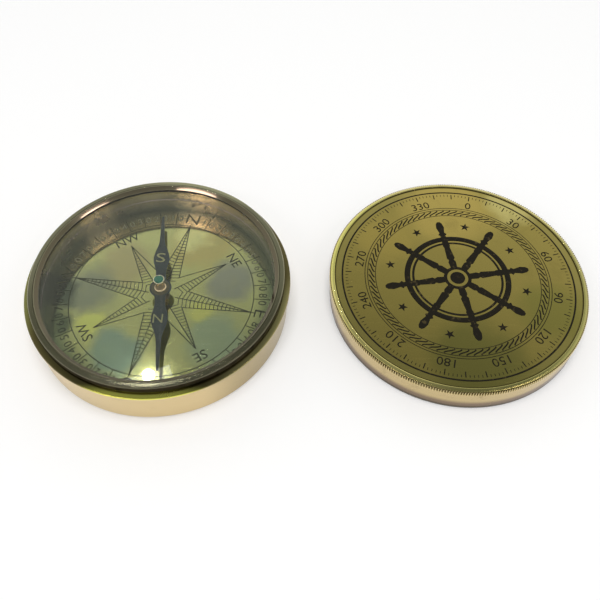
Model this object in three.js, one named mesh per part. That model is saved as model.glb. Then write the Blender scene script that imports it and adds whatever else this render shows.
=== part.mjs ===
// Brass pocket compass with a screw lid, opened: the lid lies beside the case, face up.
// Millimetres, +Z up. The origin is the centre of the case's flat foot, and +X runs towards the lid.

import * as THREE from 'three';

// Lid
const lidRadius = 38;
const lidHeight = 9.3;
const lidWallInset = 0.3;
const lidThreadWall = 1.1;
const lidTopThickness = 2.1;
const lidBandHeight = 1.4;
const lidEdgeRounding = 0.3;
const lidLipWidth = 1.2;
const lidPlateThickness = 0.6;
const lidPlateSetDown = 0.35;
const lidGap = 11.72;
const lidBearing = 3.36;

// Case
const threadClearance = 0.2;
const spigotWall = 1.5;
const spigotHeight = 2.65;
const shoulderThickness = 1.5;
const shoulderOverhang = 1;
const floorThickness = 3.5;
const footRounding = 1;
const edgeBreak = 0.3;

// Dial, glass and the rings that hold them in the case's bore
const fitClearance = 0.1;
const dialThickness = 1;
const dialToGlass = 8.5;
const spacerWall = 1.2;
const glassThickness = 1.4;
const ringWidth = 1.25;
const ringHeight = 0.9;
const ringBevel = 0.55;
const ringSetDown = 0.1;

// Pivot
const pinRadius = 0.35;
const pinPointLength = 1.2;
const pinPlay = 0.1;
const bushStemRadius = 1.5;
const bushFlangeWidth = 0.8;
const bushFlangeThickness = 0.5;
const bushHeight = 1.7;
const bushNoseWall = 0.5;

// Needle
const needleHeading = 185.5;
const needleLift = 3.4;
const needleTipGap = 6.2;
const bladeThickness = 0.4;
const bladeDiscRadius = 3.2;
const bladeNeckWidth = 3;
const bladeNeckReach = 5.5;
const bladeLobeWidth = 4.8;
const bladeLobeReach = 10.6;
const bladeShaftWidth = 1.5;
const bladeShaftReach = 18;
const bladeTipWidth = 0.7;

// Hub and jewel
const glassClearance = 0.5;
const hubBoreClearance = 0.3;
const hubSleeveWall = 0.45;
const hubRivetWidth = 0.35;
const hubRivetHeight = 0.3;
const hubFlangeWidth = 0.65;
const hubFlangeEdge = 0.25;
const hubWaistWall = 0.3;
const hubWaistDrop = 1.3;
const hubCollarWall = 0.25;
const hubCollarEdge = 0.4;
const jewelRadius = 1.3;
const jewelThickness = 0.6;
const jewelDome = 0.2;
const jewelCupRadius = 0.5;
const jewelCupDepth = 0.4;

// Facets round a large and a small turned piece, and steps along a curved stretch of a profile
const largeFacets = 72;
const smallFacets = 32;
const curveSteps = 4;
const bladeCurveSteps = 10;

// Heights from the table, worked up from the foot
const dialBottom = floorThickness;
const dialTop = dialBottom + dialThickness;
const glassBottom = dialTop + dialToGlass;
const glassTop = glassBottom + glassThickness;
const ringTop = glassTop + ringHeight;
const rimTop = ringTop + ringSetDown;
const shoulderTop = rimTop - spigotHeight;

// Radii, worked in from the lid, which has the case's own outside size
const caseRadius = lidRadius;
const caseWallRadius = caseRadius - shoulderOverhang;
const lidWallRadius = lidRadius - lidWallInset;
const lidBoreRadius = lidWallRadius - lidThreadWall;
const spigotRadius = lidBoreRadius - threadClearance;
const boreRadius = spigotRadius - spigotWall;
const seatRadius = boreRadius - fitClearance;
const spacerInnerRadius = seatRadius - spacerWall;

const brass = { color: 0xb9a56a, roughness: 0.32, metalness: 1 };
const polishedBrass = { color: 0xa9a25e, roughness: 0.12, metalness: 1 };
const copperyBrass = { color: 0xb98a58, roughness: 0.25, metalness: 1 };
const bluedSteel = { color: 0x3f474a, roughness: 0.35, metalness: 0.7 };
const steel = { color: 0xa8abad, roughness: 0.3, metalness: 1 };
const greenStone = { color: 0x2f9464, roughness: 0.1, metalness: 0 };
const clearGlass = { color: 0xeef4f2, roughness: 0.02, metalness: 0, transparent: true, opacity: 0.2 };

function radians(degrees) {
  return THREE.MathUtils.degToRad(degrees);
}

// Turns a profile of radius and height about the vertical axis.
// A profile runs outwards along its underside, up its outer side and inwards along its top.
function turned(name, profile, facets, material) {
  const geometry = new THREE.LatheGeometry(profile.getPoints(curveSteps), facets);
  geometry.rotateX(Math.PI / 2);
  const mesh = new THREE.Mesh(geometry, new THREE.MeshStandardMaterial(material));
  mesh.name = name;
  return mesh;
}

// A flat disc, or a plain ring where the inner radius isn't zero.
function discProfile(innerRadius, outerRadius, bottom, top) {
  const profile = new THREE.Path();
  profile.moveTo(innerRadius, bottom);
  profile.lineTo(outerRadius, bottom);
  profile.lineTo(outerRadius, top);
  profile.lineTo(innerRadius, top);
  if (innerRadius > 0) {
    profile.closePath();
  }
  return profile;
}

function caseBase() {
  const shoulderUnderside = shoulderTop - shoulderThickness;
  const profile = new THREE.Path();
  profile.moveTo(0, 0);
  profile.lineTo(caseWallRadius - footRounding, 0);
  profile.absarc(caseWallRadius - footRounding, footRounding, footRounding, -Math.PI / 2, 0);
  profile.lineTo(caseWallRadius, shoulderUnderside - shoulderOverhang);
  profile.lineTo(caseRadius, shoulderUnderside);
  profile.lineTo(caseRadius, shoulderTop - edgeBreak);
  profile.lineTo(caseRadius - edgeBreak, shoulderTop);
  profile.lineTo(spigotRadius, shoulderTop);
  profile.lineTo(spigotRadius, rimTop - edgeBreak);
  profile.lineTo(spigotRadius - edgeBreak, rimTop);
  profile.lineTo(boreRadius, rimTop);
  profile.lineTo(boreRadius, floorThickness);
  profile.lineTo(0, floorThickness);
  return turned('case_base', profile, largeFacets, brass);
}

function dialPlate() {
  const profile = discProfile(bushStemRadius + fitClearance, seatRadius, dialBottom, dialTop);
  return turned('dial_plate', profile, largeFacets, polishedBrass);
}

function spacerRing() {
  const profile = discProfile(spacerInnerRadius, seatRadius, dialTop, glassBottom);
  return turned('spacer_ring', profile, largeFacets, polishedBrass);
}

function glass() {
  const profile = discProfile(0, seatRadius, glassBottom, glassTop);
  return turned('glass', profile, largeFacets, clearGlass);
}

function retainingRing() {
  const innerRadius = seatRadius - ringWidth;
  const profile = new THREE.Path();
  profile.moveTo(innerRadius, glassTop);
  profile.lineTo(seatRadius, glassTop);
  profile.lineTo(seatRadius, ringTop);
  profile.lineTo(innerRadius + ringBevel, ringTop);
  profile.lineTo(innerRadius, ringTop - ringBevel);
  profile.closePath();
  return turned('retaining_ring', profile, largeFacets, copperyBrass);
}

function pivotBush() {
  const pinHole = pinRadius + fitClearance;
  const flangeRadius = bushStemRadius + bushFlangeWidth;
  const profile = new THREE.Path();
  profile.moveTo(pinHole, dialBottom);
  profile.lineTo(bushStemRadius, dialBottom);
  profile.lineTo(bushStemRadius, dialTop);
  profile.lineTo(flangeRadius, dialTop);
  profile.lineTo(flangeRadius, dialTop + bushFlangeThickness);
  profile.lineTo(pinHole + bushNoseWall, dialTop + bushHeight);
  profile.lineTo(pinHole, dialTop + bushHeight);
  profile.closePath();
  return turned('pivot_bush', profile, smallFacets, brass);
}

// Needle heights: the hub fills what is left between the blade and the glass.
const bladeBottom = dialTop + needleLift;
const bladeTop = bladeBottom + bladeThickness;
const hubTop = glassBottom - glassClearance - jewelDome;
const jewelBottom = hubTop - jewelThickness;
const jewelCupTop = jewelBottom + jewelCupDepth;
const hubBore = pinRadius + hubBoreClearance;
const hubSleeveRadius = hubBore + hubSleeveWall;

function pivotPin() {
  const point = jewelCupTop - pinPlay;
  const profile = new THREE.Path();
  profile.moveTo(0, dialBottom);
  profile.lineTo(pinRadius, dialBottom);
  profile.lineTo(pinRadius, point - pinPointLength);
  profile.lineTo(0, point);
  return turned('pivot_pin', profile, smallFacets, steel);
}

// A quarter of the blade's outline: round the disc, along the neck, over the lobe and out to the tip.
function bladeQuarter(reach) {
  const neck = bladeNeckWidth / 2;
  const lobe = bladeLobeWidth / 2;
  const shaft = bladeShaftWidth / 2;
  const neckMiddle = (bladeNeckReach + bladeLobeReach) / 2;
  const shaftMiddle = (bladeLobeReach + bladeShaftReach) / 2;
  const quarter = new THREE.Path();
  quarter.moveTo(bladeDiscRadius, 0);
  quarter.absarc(0, 0, bladeDiscRadius, 0, Math.acos(neck / bladeDiscRadius));
  quarter.lineTo(neck, bladeNeckReach);
  quarter.bezierCurveTo(neck, neckMiddle, lobe, neckMiddle, lobe, bladeLobeReach);
  quarter.bezierCurveTo(lobe, shaftMiddle, shaft, shaftMiddle, shaft, bladeShaftReach);
  quarter.lineTo(bladeTipWidth / 2, reach);
  return quarter.getPoints(bladeCurveSteps);
}

function mirrored(points, across, along) {
  return points.map((point) => new THREE.Vector2(point.x * across, point.y * along));
}

function needleBlade() {
  const quarter = bladeQuarter(spacerInnerRadius - needleTipGap);
  const outline = [
    ...quarter,
    ...mirrored(quarter, -1, 1).reverse(),
    ...mirrored(quarter, -1, -1).slice(1),
    ...mirrored(quarter, 1, -1).reverse().slice(0, -1),
  ];
  const shape = new THREE.Shape(outline);
  const hole = new THREE.Path();
  hole.absarc(0, 0, hubSleeveRadius + fitClearance, 0, 2 * Math.PI);
  shape.holes.push(hole);
  const geometry = new THREE.ExtrudeGeometry(shape, {
    depth: bladeThickness,
    bevelEnabled: false,
    curveSegments: smallFacets,
  });
  geometry.translate(0, 0, bladeBottom);
  const mesh = new THREE.Mesh(geometry, new THREE.MeshStandardMaterial(bluedSteel));
  mesh.name = 'needle_blade';
  return mesh;
}

function needleHub() {
  const rivetRadius = hubSleeveRadius + fitClearance + hubRivetWidth;
  const rivetBottom = bladeBottom - hubRivetHeight;
  const flangeRadius = hubSleeveRadius + hubFlangeWidth;
  const waistRadius = hubBore + hubWaistWall;
  const waistHeight = hubTop - hubWaistDrop;
  const jewelSeat = jewelRadius + fitClearance;
  const collarRadius = jewelSeat + hubCollarWall;
  const collarUnderside = hubTop - hubCollarEdge;
  const profile = new THREE.Path();
  profile.moveTo(hubBore, rivetBottom);
  profile.lineTo(rivetRadius, rivetBottom);
  profile.lineTo(rivetRadius, bladeBottom);
  profile.lineTo(hubSleeveRadius, bladeBottom);
  profile.lineTo(hubSleeveRadius, bladeTop);
  profile.lineTo(flangeRadius, bladeTop);
  profile.lineTo(flangeRadius, bladeTop + hubFlangeEdge);
  profile.quadraticCurveTo(waistRadius, bladeTop + hubFlangeEdge, waistRadius, waistHeight);
  profile.lineTo(collarRadius, collarUnderside);
  profile.lineTo(collarRadius, hubTop);
  profile.lineTo(jewelSeat, hubTop);
  profile.lineTo(jewelSeat, jewelBottom);
  profile.lineTo(hubBore, jewelBottom);
  profile.closePath();
  return turned('needle_hub', profile, smallFacets, brass);
}

function jewel() {
  const profile = new THREE.Path();
  profile.moveTo(0, jewelCupTop);
  profile.lineTo(jewelCupRadius, jewelBottom);
  profile.lineTo(jewelRadius, jewelBottom);
  profile.lineTo(jewelRadius, hubTop);
  profile.quadraticCurveTo(jewelRadius / 2, hubTop + jewelDome, 0, hubTop + jewelDome);
  return turned('jewel', profile, smallFacets, greenStone);
}

// Lid heights, worked down from its face
const lidRecessFloor = lidHeight - lidPlateSetDown - lidPlateThickness;
const lidCeiling = lidRecessFloor - lidTopThickness;
const lidLipOuterRadius = lidRadius - lidEdgeRounding;
const lidLipInnerRadius = lidLipOuterRadius - lidLipWidth;

function lidShell() {
  const bandTop = lidHeight - lidEdgeRounding;
  const bandBottom = bandTop - lidBandHeight;
  const profile = new THREE.Path();
  profile.moveTo(0, lidCeiling);
  profile.lineTo(lidBoreRadius, lidCeiling);
  profile.lineTo(lidBoreRadius, edgeBreak);
  profile.lineTo(lidBoreRadius + edgeBreak, 0);
  profile.lineTo(lidWallRadius - edgeBreak, 0);
  profile.lineTo(lidWallRadius, edgeBreak);
  profile.lineTo(lidWallRadius, bandBottom - lidWallInset);
  profile.lineTo(lidRadius, bandBottom);
  profile.lineTo(lidRadius, bandTop);
  profile.absarc(lidLipOuterRadius, bandTop, lidEdgeRounding, 0, Math.PI / 2);
  profile.lineTo(lidLipInnerRadius, lidHeight);
  profile.lineTo(lidLipInnerRadius, lidRecessFloor);
  profile.lineTo(0, lidRecessFloor);
  return turned('lid_shell', profile, largeFacets, brass);
}

function lidPlate() {
  const plateTop = lidRecessFloor + lidPlateThickness;
  const profile = discProfile(0, lidLipInnerRadius - fitClearance, lidRecessFloor, plateTop);
  return turned('lid_plate', profile, largeFacets, polishedBrass);
}

const compass = new THREE.Group();
compass.add(caseBase(), dialPlate(), pivotBush(), pivotPin(), spacerRing(), glass(), retainingRing());

const needle = new THREE.Group();
needle.add(needleBlade(), needleHub(), jewel());
needle.rotation.z = radians(needleHeading);
compass.add(needle);

const lid = new THREE.Group();
lid.add(lidShell(), lidPlate());
const lidDistance = caseRadius + lidGap + lidRadius;
lid.position.x = lidDistance * Math.cos(radians(lidBearing));
lid.position.y = lidDistance * Math.sin(radians(lidBearing));
compass.add(lid);

export default compass;
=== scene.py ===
# %% [markdown]
# A brass pocket compass, dressed over its CAD frame.
# The CAD model fixes where every piece sits and how it moves. This lesson adds what a lathe, an etching
# bath and years of pockets leave on the real thing: broken edges, threads, reeding, etched lines, patina
# and glass. The frame is loaded first and never moved, so that each new piece can take its place from it.

# %% Load the fixed frame
import math

import bpy
from mathutils import Matrix, Vector
from mathutils.geometry import intersect_line_line_2d


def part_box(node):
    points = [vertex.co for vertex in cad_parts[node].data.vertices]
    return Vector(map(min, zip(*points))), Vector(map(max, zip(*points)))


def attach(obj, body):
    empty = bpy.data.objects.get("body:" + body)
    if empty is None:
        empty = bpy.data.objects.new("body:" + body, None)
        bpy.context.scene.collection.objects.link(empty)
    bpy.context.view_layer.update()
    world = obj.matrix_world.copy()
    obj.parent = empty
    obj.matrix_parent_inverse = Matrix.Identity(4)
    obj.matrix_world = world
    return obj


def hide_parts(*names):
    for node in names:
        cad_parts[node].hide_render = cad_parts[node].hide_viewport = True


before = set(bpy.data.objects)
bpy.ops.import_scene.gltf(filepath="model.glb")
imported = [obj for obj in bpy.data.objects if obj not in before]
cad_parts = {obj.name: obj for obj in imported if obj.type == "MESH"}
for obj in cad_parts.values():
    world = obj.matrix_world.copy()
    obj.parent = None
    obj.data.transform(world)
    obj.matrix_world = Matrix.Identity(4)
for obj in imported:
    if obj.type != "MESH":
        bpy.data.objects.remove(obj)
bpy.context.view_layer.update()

MM = 0.001
scene = bpy.context.scene
scene.view_settings.view_transform = "Standard"

# Levels in mm that several steps share.
DIAL_LEVEL = 4.5
GLASS_TOP = 14.4
FACE_LEVEL = 8.95

# %% [markdown]
# The camera comes first, because every later comparison looks through it.
# It stands in front of the compass, between case and lid, and looks down at about 55 degrees at the
# middle of the picture. A camera like this could be placed by eye, but circles give it away: their
# ellipses fix the tilt, the height and the lens, so these values were solved from the outlines of the
# case and the lid, the dial's ring and the lid's border. The picture was cropped below its middle, hence
# the small shift. The order ZYX lets the roll be one number.

# %% Place the camera
TILT_DOWN = 49.376
ROLL = 0.933


def add_object(name, data):
    """A new object in the scene."""
    holder = bpy.data.objects.new(name, data)
    scene.collection.objects.link(holder)
    return holder


camera_data = bpy.data.cameras.new("viewer")
camera_data.sensor_width = 36
camera_data.sensor_fit = "HORIZONTAL"
camera_data.lens = 46.755
camera_data.shift_y = -0.1344
camera_data.clip_start = 0.01
camera = add_object("viewer", camera_data)
camera.location = Vector((40.498, -132.799, 195.224)) * MM
camera.rotation_mode = "ZYX"
camera.rotation_euler = (math.radians(90 - TILT_DOWN), 0, math.radians(ROLL))
scene.camera = camera
print("camera:", [round(value, 4) for value in camera.location])

# %% [markdown]
# Every finish is a tree of shader nodes, and a few short functions keep these trees readable.
# Each makes one kind of node, feeds its inputs with plain values or links, and returns what comes out.
# The nodes could be set up one by one as well, but the same five lines would then return a hundred times.

# %% Define the node helpers
finishes = {}


def feed(socket, value):
    """Links a socket, or sets a plain value; colours come without their alpha."""
    if isinstance(value, bpy.types.NodeSocket):
        socket.id_data.links.new(value, socket)
    else:
        socket.default_value = (*value[:3], 1) if socket.type == "RGBA" else value


def set_inputs(node, **values):
    """Feeds a node's inputs by name, with an underscore for each blank in the name."""
    for name, value in values.items():
        feed(node.inputs[name.replace("_", " ")], value)


def new_node(tree, kind, **values):
    """A new shader node of a kind, with its inputs fed."""
    node = tree.nodes.new("ShaderNode" + kind)
    set_inputs(node, **values)
    return node


def maths(operation, *values, kind="Math", output=0):
    """One Math or Vector Math node, in the tree of the first socket among its values, and its output."""
    source = next(value for value in values if isinstance(value, bpy.types.NodeSocket))
    node = new_node(source.id_data, kind)
    node.operation = operation
    for socket, value in zip(node.inputs, values):
        feed(socket, value)
    return node.outputs[output]


def between(value, low, high, to_low=0.0, to_high=1.0):
    """A smooth step of a value from low to high."""
    node = new_node(value.id_data, "MapRange", Value=value, From_Min=low, From_Max=high)
    set_inputs(node, To_Min=to_low, To_Max=to_high)
    node.interpolation_type = "SMOOTHSTEP"
    return node.outputs["Result"]


def noise(place, scale, detail=3.0, roughness=0.55, distortion=0.0):
    """A noise texture's value at a place, with a scale in cells per metre."""
    node = new_node(place.id_data, "TexNoise", Vector=place, Scale=scale, Detail=detail)
    set_inputs(node, Roughness=roughness, Distortion=distortion)
    return node.outputs["Fac"]


def radius_of(place):
    """The distance of a place from the upright axis, and its height."""
    flat = maths("MULTIPLY", place, (1, 1, 0), kind="VectorMath")
    from_axis = maths("LENGTH", flat, kind="VectorMath", output="Value")
    return from_axis, new_node(place.id_data, "SeparateXYZ", Vector=place).outputs["Z"]


def mix_colours(factor, first, second):
    """Mixes two colours, each a value or a socket."""
    node = new_node(factor.id_data, "Mix")
    node.data_type = "RGBA"
    for index, value in ((0, factor), (6, first), (7, second)):
        feed(node.inputs[index], value)
    return node.outputs[2]


def new_finish(name):
    """Adds a material to the book of finishes and returns its node tree and its shader."""
    finishes[name] = bpy.data.materials.new(name)
    finishes[name].use_nodes = True
    tree = finishes[name].node_tree
    return tree, tree.nodes["Principled BSDF"]


def place_from(tree, centre):
    """Object coordinates measured from a piece's own axis."""
    coordinates = new_node(tree, "TexCoord").outputs["Object"]
    return new_node(tree, "Mapping", Vector=coordinates, Location=-centre).outputs["Vector"]


def add_bump(shader, height, depth):
    """A Bump node on the shader's normal, with its depth in metres."""
    bump = new_node(shader.id_data, "Bump", Strength=1.0, Distance=depth, Height=height)
    feed(shader.inputs["Normal"], bump.outputs["Normal"])


print("node helpers ready")

# %% [markdown]
# The compass lies on a plain pale sheet under soft light.
# Polished brass shows its surroundings more than its own colour, so the surroundings are part of the
# finish: a bright band low down, and a dimmer grey-green higher up, where the flat dial and lid look. The
# floor is a large subdivided sheet whose small lift, seen by camera, glossy and transmission rays only,
# brings pale grey to white while the shadow stays.

# %% Make the floor and the surroundings
FLOOR_SIZE = 6.0
FLOOR_DROP = 0.02 * MM
FLOOR_COLOUR = (0.80, 0.80, 0.815)
FLOOR_LIFT = 0.20
FLOOR_ROUGHNESS = 0.9
FLOOR_SHINE = 0.1


def deselect_all():
    """Operators act on all that is selected, so each step starts with nothing selected."""
    if bpy.context.object and bpy.context.object.mode != "OBJECT":
        bpy.ops.object.mode_set(mode="OBJECT")
    bpy.ops.object.select_all(action="DESELECT")


deselect_all()
floor_place = (0, 0, -FLOOR_DROP)
bpy.ops.mesh.primitive_grid_add(x_subdivisions=8, y_subdivisions=8, size=FLOOR_SIZE, location=floor_place)
floor = bpy.context.object
floor.name = "floor"

tree, shader = new_finish("pale_sheet")
set_inputs(shader, Base_Color=FLOOR_COLOUR, Roughness=FLOOR_ROUGHNESS, Specular_IOR_Level=FLOOR_SHINE)
ray = new_node(tree, "LightPath").outputs
seen = maths("MAXIMUM", ray["Is Camera Ray"], ray["Is Glossy Ray"])
seen = maths("MAXIMUM", seen, ray["Is Transmission Ray"])
set_inputs(shader, Emission_Color=(1, 1, 1), Emission_Strength=maths("MULTIPLY", seen, FLOOR_LIFT))
floor.data.materials.append(finishes["pale_sheet"])

SKY_STEPS = [
    (0.00, (0.92, 0.92, 0.92, 1)),
    (0.50, (0.80, 0.80, 0.78, 1)),
    (0.68, (0.68, 0.70, 0.65, 1)),
    (0.76, (0.52, 0.54, 0.49, 1)),
    (0.84, (0.29, 0.31, 0.28, 1)),
    (0.91, (0.21, 0.22, 0.20, 1)),
    (1.00, (0.19, 0.20, 0.19, 1)),
]
VIEWER_SIDE = 0.8
VIEWER_FROM, VIEWER_TO = -0.55, 0.25
world = bpy.data.worlds.new("studio")
world.use_nodes = True
scene.world = world
tree = world.node_tree
parts = new_node(tree, "SeparateXYZ", Vector=new_node(tree, "TexCoord").outputs["Generated"]).outputs
ramp = new_node(tree, "ValToRGB", Fac=parts["Z"])
for position, colour in SKY_STEPS[1:-1]:
    ramp.color_ramp.elements.new(position)
for step, (position, colour) in zip(ramp.color_ramp.elements, SKY_STEPS):
    step.color = colour
strength = between(parts["Y"], VIEWER_FROM, VIEWER_TO, VIEWER_SIDE)
set_inputs(tree.nodes["Background"], Color=ramp.outputs["Color"], Strength=strength)
print("floor:", FLOOR_SIZE, "m, surroundings in", len(SKY_STEPS), "steps")

# %% [markdown]
# Five lamps do the rest. A wide softbox overhead lights the sheet, and no polished face mirrors it. Two
# long tubes, left and right of the viewer, draw bright lines along the ring's far bevel and glow in the
# far inner wall. The last two are a small bulb, which the glass mirrors to the camera as one white spot,
# and a dim strip beside it, which the dial mirrors as a yellow glow. Both are set along the mirrored line
# of sight, so that the spot and the glow fall where they should.

# %% Set the lamps
GLINT_ON_GLASS = Vector((1.67, -31.88, GLASS_TOP)) * MM
GLOW_ON_DIAL = Vector((-1.1, -29.4, DIAL_LEVEL)) * MM
MIRRORED_DISTANCE = 1.2
WARM = (1.0, 0.81, 0.80)
MIDDLE = Vector((0.045, 0, 0.005))


def softbox(name, place, width, height, power, target=MIDDLE):
    """An area lamp that looks at a target."""
    lamp = bpy.data.lights.new(name, "AREA")
    lamp.shape = "RECTANGLE"
    lamp.size = width
    lamp.size_y = height
    lamp.energy = power
    holder = add_object(name, lamp)
    holder.location = place
    aim = target - holder.location
    holder.rotation_euler = aim.to_track_quat("-Z", "Y").to_euler()
    return holder


def tube(name, start, end, height, power):
    """A long warm lamp from one end to the other, turned to the middle."""
    start, end = Vector(start), Vector(end)
    centre = (start + end) / 2
    holder = softbox(name, centre, (end - start).length, height, power)
    holder.data.color = WARM
    across = (end - start).normalized()
    away = centre - MIDDLE
    away = (away - across * away.dot(across)).normalized()
    holder.rotation_euler = Matrix((across, away.cross(across), away)).transposed().to_euler()


def along_mirrored_sight(point):
    """The place that a level mirror at the point shows to the camera."""
    sight = point - camera.location
    return point + Vector((sight.x, sight.y, -sight.z)).normalized() * MIRRORED_DISTANCE


overhead = softbox("softbox_above", (0.045, -0.16, 1.05), 0.50, 0.50, 5.6)
overhead.visible_glossy = False
overhead.visible_transmission = False
tube("tube_left", (-0.21, -0.56, 0.74), (-0.58, -0.39, 0.65), 0.05, 0.42)
tube("tube_right", (0.64, -0.13, 0.69), (0.45, -0.38, 0.745), 0.025, 0.25)
softbox("strip", along_mirrored_sight(GLOW_ON_DIAL), 0.10, 0.02, 0.011, GLOW_ON_DIAL)
bulb = bpy.data.lights.new("bulb", "POINT")
bulb.energy = 0.4
bulb.shadow_soft_size = 10.5 * MM
bulb_holder = add_object("bulb", bulb)
bulb_holder.location = along_mirrored_sight(GLINT_ON_GLASS)
print("bulb at", [round(value, 3) for value in bulb_holder.location])

# %% [markdown]
# Effects that several finishes share are node groups.
# Turning lines are the fine rings that a lathe tool leaves, so they are noise over radius and height
# only. Tarnish is a soft blotch mask. Edge wear finds convex edges, where handling keeps brass bright.
# Hairlines are long thin scratches in two directions. Each group puts out one mask, and each finish
# decides what to do with it.

# %% Build the shared node groups
PER_MM = 1000.0


def new_group(name, output, **inputs):
    """A node group with a place and some numbers coming in and one number going out, and its two ends."""
    group = bpy.data.node_groups.new(name, "ShaderNodeTree")
    group.interface.new_socket(name="Place", in_out="INPUT", socket_type="NodeSocketVector")
    for key, value in inputs.items():
        label = key.replace("_", " ")
        socket = group.interface.new_socket(name=label, in_out="INPUT", socket_type="NodeSocketFloat")
        socket.default_value = value
    group.interface.new_socket(name=output, in_out="OUTPUT", socket_type="NodeSocketFloat")
    return group, group.nodes.new("NodeGroupInput").outputs, group.nodes.new("NodeGroupOutput").inputs[0]


turning_lines, entry, leave = new_group("turning_lines", "Lines", Lines_per_mm=6.0)
radius, rise = radius_of(entry["Place"])
rings = new_node(turning_lines, "CombineXYZ", X=radius, Y=rise).outputs[0]
fineness = maths("MULTIPLY", entry["Lines per mm"], PER_MM)
feed(leave, noise(rings, fineness, 2.0, 0.7))

tarnish, entry, leave = new_group("tarnish", "Mask", Blotches_per_mm=0.1, Spread=0.5)
fineness = maths("MULTIPLY", entry["Blotches per mm"], PER_MM)
broad = noise(entry["Place"], fineness, 4.0, 0.6, 0.4)
threshold = maths("SUBTRACT", 0.78, maths("MULTIPLY", entry["Spread"], 0.5))
feed(leave, between(broad, threshold, maths("ADD", threshold, 0.2)))

edge_wear, entry, leave = new_group("edge_wear", "Mask", Onset=0.52)
pointiness = new_node(edge_wear, "NewGeometry").outputs["Pointiness"]
sharp = between(pointiness, entry["Onset"], maths("ADD", entry["Onset"], 0.06))
broken = between(noise(entry["Place"], 900.0), 0.3, 0.6, 0.35, 1.0)
feed(leave, maths("MULTIPLY", sharp, broken))

hairlines, entry, leave = new_group("hairlines", "Mask", Lines_per_mm=4.0)
fineness = maths("MULTIPLY", entry["Lines per mm"], PER_MM)
scratches = []
for heading in (24, -57):
    turned_place = new_node(hairlines, "Mapping", Vector=entry["Place"], Scale=(0.03, 1, 0.2))
    set_inputs(turned_place, Rotation=(0, 0, math.radians(heading)))
    lines = noise(turned_place.outputs[0], fineness, 1.0, 0.5)
    scratches.append(between(lines, 0.66, 0.74))
feed(leave, maths("MAXIMUM", *scratches))
print("node groups:", [group.name for group in bpy.data.node_groups])

# %% [markdown]
# Most of the compass is one metal in many states, so one function mixes each brass finish.
# A finish has a clean colour, a tarnished one and a bright one for worn edges. Tarnish also dulls the
# gloss, and the turning lines are a tiny bump. Patterns are centred on the piece's own axis by a Mapping
# node, because the lid's axis isn't the case's.

# %% Mix the brass finishes
lid_low, lid_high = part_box("lid_shell")
LID_CENTRE = (Vector(lid_low) + Vector(lid_high)) / 2
LID_CENTRE.z = 0
CASE_CENTRE = Vector((0, 0, 0))
LID_FINISHES = ("lid", "reeding", "face")
# Each row: clean and dull colour, gloss, lines per mm, their depth, blotches per mm, spread, worn edges.
BRASS_FINISHES = {
    "wall_brass": ((0.70, 0.555, 0.30), (0.54, 0.42, 0.22), 0.24, 8.0, 6.0, 0.12, 0.4, 0.5),
    "rim_brass": ((0.29, 0.275, 0.185), (0.25, 0.235, 0.16), 0.15, 4.0, 0.1, 0.1, 0.3, 0.0),
    # ledge_brass's bright yellow is a painted highlight; the rows laid over it keep it only at the front.
    "ledge_brass": ((0.95, 0.94, 0.20), (0.80, 0.76, 0.16), 0.24, 7.0, 3.0, 0.2, 0.4, 0.0),
    # thread_brass is near-black, painted shade on the spigot's thread below the rim; it also draws dark
    # joint lines.
    "thread_brass": ((0.045, 0.036, 0.02), (0.02, 0.017, 0.01), 0.45, 5.0, 4.0, 0.3, 0.6, 0.1),
    "sleeve_brass": ((0.53, 0.44, 0.48), (0.45, 0.38, 0.41), 0.24, 2.0, 1.0, 0.1, 0.5, 0.5),
    "ring_brass": ((0.38, 0.35, 0.24), (0.32, 0.295, 0.205), 0.15, 4.0, 0.1, 0.1, 0.3, 0.0),
    "bevel_brass": ((0.15, 0.13, 0.085), (0.13, 0.11, 0.07), 0.07, 4.0, 0.5, 0.1, 0.1, 0.0),
    # pivot_brass is near-black: painted shade under the needle's disc.
    "pivot_brass": ((0.075, 0.06, 0.038), (0.04, 0.034, 0.022), 0.36, 12.0, 3.0, 0.4, 0.5, 0.5),
    "pivot_steel": ((0.62, 0.63, 0.64), (0.42, 0.42, 0.42), 0.22, 12.0, 2.0, 0.5, 0.5, 0.5),
    "hub_brass": ((0.98, 0.78, 0.48), (0.86, 0.65, 0.38), 0.20, 14.0, 1.0, 0.5, 0.3, 0.0),
    "bare_steel": ((0.42, 0.43, 0.37), (0.34, 0.35, 0.30), 0.34, 8.0, 2.0, 0.3, 0.4, 0.0),
    "letter_brass": ((0.42, 0.41, 0.20), (0.30, 0.30, 0.16), 0.42, 6.0, 2.0, 0.6, 0.5, 0.5),
    "lid_wall_brass": ((0.61, 0.48, 0.245), (0.46, 0.36, 0.18), 0.26, 8.0, 6.0, 0.12, 0.5, 0.5),
    "lid_rim_brass": ((0.73, 0.64, 0.26), (0.56, 0.48, 0.19), 0.22, 7.0, 5.0, 0.2, 0.5, 0.5),
    "lid_inside_brass": ((0.58, 0.46, 0.26), (0.34, 0.27, 0.16), 0.32, 5.0, 6.0, 0.12, 0.5, 0.5),
    "reeding_brass": ((0.66, 0.55, 0.28), (0.46, 0.37, 0.19), 0.26, 7.0, 3.0, 0.12, 0.5, 0.5),
}


def centre_of(name):
    """The axis that a finish is centred on: its name says whether it is the lid's or the case's."""
    return LID_CENTRE if name.startswith(LID_FINISHES) else CASE_CENTRE


def use_group(group, place, **values):
    """Places a shared group in a material and returns its one output."""
    node = new_node(place.id_data, "Group")
    node.node_tree = group
    set_inputs(node, Place=place, **values)
    return node.outputs[0]


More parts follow.
